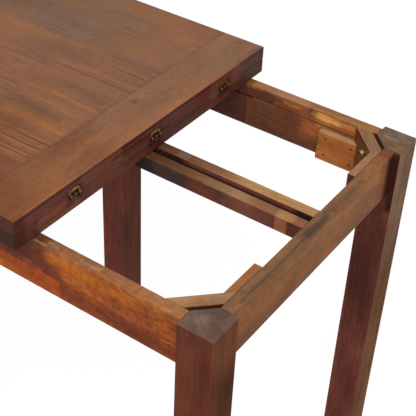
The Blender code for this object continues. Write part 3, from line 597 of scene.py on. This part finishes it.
# an orange flame over the kerf, dark towards the leaf
mark(piece, "#C46832", 0.78, face=inner_face, x=(0.334, 0.42), z=(0.692, 0.722), soft=22, ragged=40)
mark(piece, "#9A5826", 0.7, x=(0.20, 0.34), y=INNER_FACE, z=(0.7445, 0.752), soft=2, ragged=5)
mark(piece, "#482818", 0.8, x=(0.20, 0.285), y=INNER_FACE, z=(0.724, 0.7430), soft=9, ragged=22)
mark(piece, "#9A5428", 0.7, x=(0.275, 0.34), y=INNER_FACE, z=(0.727, 0.752), soft=10, ragged=40)
mark(piece, "#E09850", 0.88, face=inner_face, x=(0.364, 0.46), z=(0.7275, 0.752), soft=15, ragged=50)
for low_z, high_z, start, stop, tone, share in (
        (0.7420, 0.7455, 0.362, 0.430, "#E8A858", 0.6), (0.7350, 0.7385, 0.360, 0.405, "#F8BC70", 0.75),
        (0.7300, 0.7325, 0.378, 0.400, "#E09850", 0.6), (0.7390, 0.7410, 0.350, 0.385, "#E8A858", 0.5)):
    mark(piece, tone, share, face=inner_face, x=(start, stop), z=(low_z, high_z), soft=5, ragged=24)
mark(piece, "#6A3018", 0.6, x=(0.29, 0.44), y=INNER_FACE, z=(0.7290, 0.7315), soft=3, ragged=12)
mark(piece, "#964C24", 0.5, face=inner_face, x=(0.408, 0.46), z=(0.7245, 0.752), soft=12, ragged=20)
mark(piece, "#C47C34", 0.55, face=inner_face, x=(0.288, 0.325), z=(0.7375, 0.7425), soft=4, ragged=20)
# painted light inside the kerf lifts its shade, and a painted highlight lies on its lower lip; under the
# leaf the lip gets painted shade, and the kerf inside a milder painted light
kerf = {"y": (INNER_Y + 0.0006, INNER_Y + 0.02), "z": (0.7218, 0.7257)}
mark(piece, "#B48A62", 0.9, face=kerf, x=(0.226, 0.45), soft=9)
mark(piece, "#9A6E48", 0.6, x=(0.220, 0.275), y=KERF_LIP, z=(0.7212, 0.7234), soft=0.7)
mark(piece, "#7A5030", 0.6, x=(0.27, 0.44), y=KERF_LIP, z=(0.7212, 0.7230), soft=0.5)
mark(piece, "#2A1814", 0.6, x=(-0.08, 0.2055), y=KERF_LIP, soft=3)
mark(piece, "#6A4434", 0.7, face=kerf, x=(-0.08, 0.214), soft=5)
mark(piece, "#4E2616", 0.75, face=inner_face, x=(0.225, 0.47), z=(0.7472, 0.7502), soft=0.9, ragged=1.5)
# the top, paler partly from wear and partly as painted light, and painted shade under the leaf
mark(piece, "#A26E44", 0.85, z=TOP_FACE, soft=0.5)
mark(piece, "#C08C4C", 0.3, x=(0.218, 0.236), z=TOP_DEEP, y=(0.288, 0.300), soft=5, ragged=16)
mark(piece, "#BA8648", 0.5, x=(0.40, 0.47), z=TOP_DEEP, y=(0.287, 0.300), soft=8, ragged=24)
mark(piece, "#7A4C2C", 0.5, x=(0.25, 0.46), z=TOP_DEEP, y=(0.296, 0.299), soft=3, ragged=12)
mark(piece, "#B4967C", 0.35, x=(0.262, 0.335), z=TOP_FACE, soft=10)
mark(piece, "#4A2A1C", 0.8, x=(-0.1, 0.212), z=TOP_FACE, soft=6)
oil(piece, "side_apron_far")
print("far side apron: orange above its kerf, dark under the leaf")

# %% The end aprons
for node, seed in (("end_apron_open", 17.0), ("end_apron_leaf", 18.0)):
    piece = cut("stained acacia " + words(node), node, ("#AC6C38", "#915C33", "#704C30"), seed,
                heart=(-25, -95), ring=14.0, wander=30.0, grain="sloping y", rings=0.5, fibres=0.6,
                patches=1.0, mottle=0.7, figure=0.2, streaks=0.3)
    # the top is paler, partly wear and partly painted light
    mark(piece, "#7E5A40", 0.8, z=TOP_FACE, soft=0.5)
    if node == "end_apron_open":
        # browner below, a grey streak along the top, and painted shade in the corner beside the far leg
        mark(piece, "#5E3A1C", 0.5, y=(-0.26, -0.07), z=(0.65, 0.694), soft=16, ragged=30)
        mark(piece, "#B87A46", 0.45, y=(-0.11, 0.20), z=(0.720, 0.746), soft=12, ragged=40)
        mark(piece, "#5E5044", 0.4, x=(0.516, 0.540), y=(-0.045, 0.045), z=TOP_DEEP, soft=5, ragged=20)
        mark(piece, "#3C3630", 0.55, x=(0.522, 0.531), y=(-0.04, 0.03), z=TOP_DEEP, soft=4, ragged=16)
        mark(piece, "#524840", 0.5, x=(0.5235, 0.532), y=(0.04, 0.145), z=TOP_DEEP, soft=3.5, ragged=14)
        mark(piece, "#463C36", 0.7, x=(0.5275, 0.5315), y=(-0.23, 0.02), z=TOP_DEEP, soft=3, ragged=7)
        mark(piece, "#A86A34", 0.3, y=(0.12, 0.24), z=TOP_DEEP, soft=6, ragged=30)
        mark(piece, "#8A3C20", 0.5, y=(0.203, 0.26), z=(0.6, 0.7490), soft=9, ragged=6)
        mark(piece, "#30140E", 0.9, y=(0.228, 0.26), z=(0.6, 0.7480), soft=9, ragged=6)
    oil(piece, node)
print("two end aprons, calm tan, one with a grey streak along its top")

# %% Slide rails, runner and keeper
rail_top = {"z": TOP_FACE}
slot_wall = {"y": (0.0045, 0.0085), "z": (0.70, 0.7495)}
for i, node in enumerate(("slide_rail_near", "slide_rail_far", "slide_runner", "keeper_strip")):
    piece = cut("stained acacia " + words(node), node, ("#7C4836", "#643829", "#482A20"), seed=21.0 + i,
                heart=(10, -60), ring=8.0, wander=10.0, rings=0.4, fibres=0.5, patches=1.3, mottle=0.6,
                figure=0.2, streaks=0.2)
    if node == "slide_rail_near":
        # its side changes along the grain: grey, red and tan, with painted shade, near black, under the leaf
        mark(piece, "#723A2C", 0.8, x=(0.290, 0.345), soft=8, ragged=20)
        mark(piece, "#9E603E", 0.85, x=(0.462, 0.4845), soft=1.5)
        mark(piece, "#5A2C1E", 0.7, x=(0.4845, 0.6), soft=1.5, ragged=3)
        mark(piece, "#443634", 0.75, x=(-0.2, 0.287), soft=10, ragged=16)
        mark(piece, "#80503A", 0.5, x=(0.360, 0.415), soft=8, ragged=20)
        mark(piece, "#683E30", 0.5, x=(0.420, 0.458), soft=6, ragged=12)
        mark(piece, "#1E1614", 0.75, x=(-0.2, 0.219), soft=10, ragged=8)
    # the tops are painted paler, partly wear and partly painted light, palest towards the open end where
    # the light falls, and painted shade under the leaf
    mark(piece, "#70492F", 0.9, z=TOP_FACE, soft=0.5)
    mark(piece, "#986C4A", 0.48, face=rail_top, x=(0.295, 0.55), soft=40)
    mark(piece, "#46291D", 0.45, face=rail_top, x=(-0.2, 0.222), soft=32)
    # more paler patches, partly painted light
    if node == "slide_rail_near":
        mark(piece, "#B48862", 0.34, face=rail_top, x=(0.325, 0.405), soft=18)
        mark(piece, "#D0965E", 0.42, face=rail_top, x=(0.462, 0.492), soft=7)
    if node == "slide_rail_far":
        mark(piece, "#CC9A68", 0.46, face=rail_top, x=(0.35, 0.55), soft=45)
        mark(piece, "#D8A262", 0.28, face=rail_top, x=(0.405, 0.472), soft=14)
        mark(piece, "#807068", 0.6, x=(0.241, 0.262), y=(0.008, 0.03), z=TOP_FACE, soft=4)
        # in the slot a red upper edge, then painted shade, near black, low in the slot and at both ends
        mark(piece, "#804638", 0.9, face=slot_wall, soft=9)
        mark(piece, "#362824", 0.9, face=slot_wall, z=(0.70, 0.7425), soft=1.5)
        mark(piece, "#2C201C", 0.9, face=slot_wall, x=(-0.2, 0.262), soft=18)
        mark(piece, "#2C201C", 0.9, face=slot_wall, x=(0.477, 0.6), soft=9)
    oil(piece, node)
print("two rails, a runner and a keeper strip")

# %% Braces and cleats
corners = [(end, side) for end in ("open", "leaf") for side in ("near", "far")]
for i, (end, side) in enumerate(corners):
    turn = "diagonal" if (end == "open") == (side == "near") else "other diagonal"
    node = f"corner_brace_{end}_{side}"
    piece = cut("stained acacia " + words(node), node, ("#A06434", "#7C4826", "#54301C"), seed=27.0 + i,
                heart=(15, -60), ring=7.0, wander=10.0, grain=turn, rings=0.4, fibres=0.5, patches=1.2,
                mottle=0.5, figure=0.2, streaks=0.2)
    if side == "near":
        # painted shade: the near braces' sides, in the gap beside the leg, are darker than the top
        mark(piece, "#472A1E", 0.85, z=(0.6, TOP_Z - 0.001), soft=0.5)
    # the top, paler, partly wear and partly painted light
    mark(piece, "#A07654", 0.85, z=TOP_FACE, soft=0.5)
    if node == "corner_brace_open_near":
        mark(piece, "#BB8F5B", 0.85, x=(0.39, 0.466), z=TOP_FACE, soft=14)
    oil(piece, node)
    for kind, grain, along in (("side", "x", 0), ("end", "y", 1)):
        node = f"{kind}_cleat_{end}_{side}"
        low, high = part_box(node)
        piece = cut("oiled acacia " + words(node), node, ("#C67C40", "#A8622E", "#804A20"),
                    seed=33.0 + 2 * i + (kind == "end"), heart=(15, -60), ring=8.0, wander=10.0, grain=grain,
                    rings=0.4, fibres=0.45, patches=1.3, mottle=0.5, figure=0.2, streaks=0.15)
        sawn_top = "#B69266" if kind == "side" else "#A67E5C" if side == "far" else "#A26C46"
        mark(piece, sawn_top, 0.85, z=around(high.z, 0.001), soft=0.5)
        # the sawn ends drank more stain
        for side_end in (low[along], high[along]):
            mark(piece, "#2E1E16", 0.8, soft=0.5, **{"xy"[along]: (side_end - FACE_SKIN, side_end + 0.001)})
        oil(piece, node)
print(f"{len(corners)} braces and {2 * len(corners)} cleats")

# %% [markdown]
# ## Metals
#
# The hinge forks are cast brass, warm and rubbed bright where hands reach, above the seam between the leaves,
# and brown below it, partly patina and partly painted shade. The nuts are yellow-zinc steel, pale straw with a
# satin shine. Bolts, pins and screws are steel with a dark oil finish, nearly black, and the hinge tongues are
# browned steel, dull. Metals keep their colour in the reflection, so the tint goes in the base colour. One
# flat tint would look like plastic, so slow noise varies tint and roughness.

# %% Brass, zinc and dark steel
METALS = {
    "aged cast brass": (("#AC7A3A", "#52341A"), (0.36, 0.58), [n for n in nodes if "hinge_fork" in n]),
    "yellow zinc steel": (("#BCAE80", "#6E6442"), (0.34, 0.52),
                          [n for n in nodes if "nut" in n or "keeper_screw" in n]),
    "oiled dark steel": (("#4A423C", "#1E1916"), (0.35, 0.55),
                         [n for n in nodes if "hanger_bolt" in n or "hinge_pin" in n]),
    "browned steel": (("#6A4A32", "#38261A"), (0.45, 0.62), [n for n in nodes if "hinge_tongue" in n])}
BRIGHT_Z, BROWN_Z = 0.785, 0.774
metals = {}
for name, (tints, rough, names) in METALS.items():
    material = blank_material(name)
    tree = material.node_tree
    spot = add(tree, "ShaderNodeTexCoord").outputs["Object"]
    # stains about 4 mm across, and fine grit of 0.5 mm
    stain = add(tree, "ShaderNodeTexNoise", {0: spot, "Scale": 250.0, "Detail": 4.0,
                                             "Roughness": 0.6}).outputs[0]
    grit = add(tree, "ShaderNodeTexNoise", {0: spot, "Scale": 2000.0, "Detail": 2.0}).outputs[0]
    share = add(tree, "ShaderNodeMapRange", {0: stain, 1: 0.35, 2: 0.7})
    if "brass" in name:
        # bright above the seam and brown below it: partly patina, partly painted shade
        height = add(tree, "ShaderNodeSeparateXYZ", {0: spot}).outputs[2]
        patina_and_shade = add(tree, "ShaderNodeMapRange", {0: height, 1: BRIGHT_Z, 2: BROWN_Z, 3: 0.0, 4: 0.8})
        share = add(tree, "ShaderNodeMath", {0: share.outputs[0], 1: patina_and_shade.outputs[0]}, operation="MAXIMUM")
    colour = add(tree, "ShaderNodeMix", {0: share.outputs[0], 6: linear(tints[0]), 7: linear(tints[1])},
                 data_type="RGBA")
    rough_map = add(tree, "ShaderNodeMapRange", {0: stain, 1: 0.3, 2: 0.7, 3: rough[0], 4: rough[1]})
    relief = add(tree, "ShaderNodeBump", {"Strength": 0.2, "Distance": 0.00005, "Height": grit})
    shader = add(tree, "ShaderNodeBsdfPrincipled", {
        "Base Color": colour.outputs[2], "Metallic": 1.0, "Roughness": rough_map.outputs[0],
        "Normal": relief.outputs[0]})
    add(tree, "ShaderNodeOutputMaterial", {"Surface": shader.outputs[0]})
    for node_name in names:
        nodes[node_name].material_slots[0].material = material
    metals[name] = material
print("metals:", ", ".join(f"{name} on {len(METALS[name][2])}" for name in metals))

# %% [markdown]
# ## Screws in the cleats
#
# Each cleat is held by four countersunk screws, sunk below the face. They could be copied into place one by
# one, but all are the same, so Geometry Nodes build one screw head with a cross recess and put it on a point
# in every hole, turned along the hole's axis. The points carry that axis as an attribute.

# %% Points in the holes
# in metres: the heads below the face, and the holes from the cleat's ends and edges
SINK = 0.003
HOLE_FREE_END = 0.017
HOLE_BRACE_END = 0.0105
HOLE_EDGE = 0.0125
rail_low, rail_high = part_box("slide_rail_near")
middle = Vector(((rail_low.x + rail_high.x) / 2, 0.0, 0.0))
points, axes = [], []
for end, side in corners:
    for kind, along, out in (("side", 0, 1), ("end", 1, 0)):
        low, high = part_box(f"{kind}_cleat_{end}_{side}")
        away = 1 if low[along] > middle[along] else -1
        free, brace = (low[along], high[along]) if away > 0 else (high[along], low[along])
        axis = Vector((0, 0, 0))
        axis[out] = -1.0 if low[out] > middle[out] else 1.0
        face = low[out] if axis[out] < 0 else high[out]
        for place in (free + away * HOLE_FREE_END, brace - away * HOLE_BRACE_END):
            for z in (high.z - HOLE_EDGE, low.z + HOLE_EDGE):
                point = Vector((0, 0, z))
                point[along] = place
                point[out] = face - axis[out] * SINK
                points.append(point)
                axes.append(axis)
holes_mesh = bpy.data.meshes.new("cleat_screws")
holes_mesh.from_pydata(points, [], [])
axis_data = holes_mesh.attributes.new("axis", "FLOAT_VECTOR", "POINT")
axis_data.data.foreach_set("vector", [c for axis in axes for c in axis])
screws = bpy.data.objects.new("cleat_screws", holes_mesh)
bpy.context.scene.collection.objects.link(screws)
print(f"{len(points)} holes, four in each of {2 * len(corners)} cleats")

# %% The screw tree
SHANK_SHARE = 0.45      # of the head's radius
RECESS_SHARE = 1.25     # length of the recess, in radii of the head
FULL_TURN = 6.283
SPIN_SEED = 7
tree = bpy.data.node_groups.new("countersunk screws", "GeometryNodeTree")
sockets(tree, "INPUT", ("Geometry", "Geometry"), ("Head radius", "Float"), ("Head depth", "Float"),
        ("Recess width", "Float"), ("Steel", "Material"))
sockets(tree, "OUTPUT", ("Geometry", "Geometry"))
given = add(tree, "NodeGroupInput").outputs
shank = add(tree, "ShaderNodeMath", {0: given["Head radius"], 1: SHANK_SHARE}, operation="MULTIPLY")
head = add(tree, "GeometryNodeMeshCone", {"Vertices": 20, "Radius Top": given["Head radius"],
                                          "Radius Bottom": shank.outputs[0], "Depth": given["Head depth"]})
down = add(tree, "ShaderNodeMath", {0: given["Head depth"], 1: -1.0}, operation="MULTIPLY")
drop = add(tree, "ShaderNodeCombineXYZ", {2: down.outputs[0]})
lowered = add(tree, "GeometryNodeTransform", {0: head.outputs["Mesh"], "Translation": drop.outputs[0]})
recess = add(tree, "GeometryNodeMeshBoolean", {0: lowered.outputs[0]}, operation="DIFFERENCE", solver="EXACT")
slot_length = add(tree, "ShaderNodeMath", {0: given["Head radius"], 1: RECESS_SHARE}, operation="MULTIPLY")
long_side, short_side = slot_length.outputs[0], given["Recess width"]
for bar_x, bar_y in ((long_side, short_side), (short_side, long_side)):
    bar_size = add(tree, "ShaderNodeCombineXYZ", {0: bar_x, 1: bar_y, 2: given["Head depth"]})
    bar = add(tree, "GeometryNodeMeshCube", {"Size": bar_size.outputs[0]})
    tree.links.new(bar.outputs["Mesh"], recess.inputs[1])
axis_in = add(tree, "GeometryNodeInputNamedAttribute", {"Name": "axis"}, data_type="FLOAT_VECTOR")
facing = add(tree, "FunctionNodeAlignRotationToVector", {"Vector": axis_in.outputs[0]}, axis="Z")
chance = add(tree, "FunctionNodeRandomValue", {3: FULL_TURN, "Seed": SPIN_SEED}, data_type="FLOAT")
spin = add(tree, "FunctionNodeAxisAngleToRotation", {"Axis": (0.0, 0.0, 1.0), "Angle": chance.outputs[1]})
turned = add(tree, "FunctionNodeRotateRotation", {0: facing.outputs[0], 1: spin.outputs[0]},
             rotation_space="LOCAL")
spots = add(tree, "GeometryNodeMeshToPoints", {0: given["Geometry"]})
placed = add(tree, "GeometryNodeInstanceOnPoints", {0: spots.outputs[0], "Instance": recess.outputs["Mesh"],
                                                    "Rotation": turned.outputs[0]})
real = add(tree, "GeometryNodeRealizeInstances", {0: placed.outputs[0]})
painted = add(tree, "GeometryNodeSetMaterial", {0: real.outputs[0], "Material": given["Steel"]})
add(tree, "NodeGroupOutput", {0: painted.outputs[0]})
print(f"screw tree: {len(tree.nodes)} nodes")

# %% From points to screws
steel = metals["oiled dark steel"]
sizes = {"Head radius": 0.0024, "Head depth": 0.0032, "Recess width": 0.0008, "Steel": steel}
modifier = screws.modifiers.new("countersunk screws", "NODES")
modifier.node_group = tree
for item in tree.interface.items_tree:
    if item.in_out == "INPUT" and item.name in sizes:
        modifier[item.identifier] = sizes[item.name]
result = bpy.data.meshes.new_from_object(screws.evaluated_get(bpy.context.evaluated_depsgraph_get()))
screws.modifiers.clear()
result.name = "cleat_screws"
result.materials.clear()
result.materials.append(steel)
result.polygons.foreach_set("material_index", [0] * len(result.polygons))
screws.data = result
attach(screws, "frame")
lowest = min(v.co.z for v in result.vertices)
print(f"screws: {len(result.polygons)} faces, lowest head at {lowest * 1000:.1f} mm")

# %% [markdown]
# ## A plain studio
#
# The photograph is a cut-out on white. More light would make any floor white, but it would bleach the wood
# too. So floor and sky only look white to the camera and in reflections, and the floor still takes a faint
# shadow. A large soft light hangs above, in front and to the right, and an even sky fills the rest.

# %% Floor
FLOOR_HALF = 8
PAPER_WHITE, SHADOW_SHARE, GLOW = 0.9, 0.11, 0.94


def seen_rays(tree):
    """1 for what the camera sees, also in reflections and through glass, and 0 for light on the object."""
    path = add(tree, "ShaderNodeLightPath").outputs
    first = add(tree, "ShaderNodeMath", {0: path["Is Camera Ray"], 1: path["Is Glossy Ray"]},
                operation="MAXIMUM").outputs[0]
    return add(tree, "ShaderNodeMath", {0: first, 1: path["Is Transmission Ray"]},
               operation="MAXIMUM").outputs[0]


def grey(level):
    return (level, level, level, 1.0)


floor_mesh = bpy.data.meshes.new("studio_floor")
floor_corners = [(x * FLOOR_HALF, y * FLOOR_HALF, 0) for x, y in ((-1, -1), (1, -1), (1, 1), (-1, 1))]
floor_mesh.from_pydata(floor_corners, [], [(0, 1, 2, 3)])
floor = bpy.data.objects.new("studio_floor", floor_mesh)
bpy.context.scene.collection.objects.link(floor)
paper = blank_material("matt white paper")
tree = paper.node_tree
white = add(tree, "ShaderNodeBsdfDiffuse", {"Color": grey(PAPER_WHITE)})
thin_white = add(tree, "ShaderNodeBsdfDiffuse", {"Color": grey(SHADOW_SHARE)})
glow = add(tree, "ShaderNodeEmission", {"Color": grey(1.0), "Strength": GLOW})
lit = add(tree, "ShaderNodeAddShader", {0: thin_white.outputs[0], 1: glow.outputs[0]})
both = add(tree, "ShaderNodeMixShader", {0: seen_rays(tree), 1: white.outputs[0], 2: lit.outputs[0]})
add(tree, "ShaderNodeOutputMaterial", {"Surface": both.outputs[0]})
floor_mesh.materials.append(paper)
print(f"floor: {2 * FLOOR_HALF} m square")

# %% Sky and soft box
SKY_FILL = 0.45
LAMP_DISTANCE = 3.2
world = bpy.data.worlds.new("studio sky")
bpy.context.scene.world = world
world.use_nodes = True
tree = world.node_tree
tree.nodes.clear()
strength = add(tree, "ShaderNodeMapRange", {0: seen_rays(tree), 3: SKY_FILL, 4: 1.0})
sky = add(tree, "ShaderNodeBackground", {"Color": grey(1.0), "Strength": strength.outputs[0]})
add(tree, "ShaderNodeOutputWorld", {"Surface": sky.outputs[0]})

aim = Vector((0.2, 0.0, 0.7))
lamp_data = bpy.data.lights.new("soft box", "AREA")
lamp_data.size = 2.0
lamp_data.energy = 66.0
lamp = bpy.data.objects.new("soft box", lamp_data)
lamp.location = aim + Vector((0.30, -0.50, 0.81)).normalized() * LAMP_DISTANCE
lamp.rotation_euler = (aim - lamp.location).to_track_quat("-Z", "Y").to_euler()
bpy.context.scene.collection.objects.link(lamp)
print(f"sky and one soft box of {lamp_data.energy:.0f} W, {LAMP_DISTANCE} m away")

# %% [markdown]
# ## The camera
#
# A camera can be set by eye, but then every edge is a little off. Its place, its turn and its lens were
# fitted to the edges of legs, aprons and leaves in the photograph, and a small shift keeps the same frame.

# %% Camera
camera_data = bpy.data.cameras.new("photo camera")
camera_data.sensor_width = 36.0
camera_data.lens = 87.008
camera_data.shift_y = -0.0601
camera_data.clip_end = 50.0
camera = bpy.data.objects.new("photo camera", camera_data)
camera.location = (1.05973, -1.13371, 1.73398)
camera.rotation_euler = [math.radians(a) for a in (53.4629, -2.3380, 35.0728)]
bpy.context.scene.collection.objects.link(camera)
bpy.context.scene.camera = camera
print("camera at", [round(v, 3) for v in camera.location])

# %% View settings
bpy.context.scene.view_settings.view_transform = "Standard"
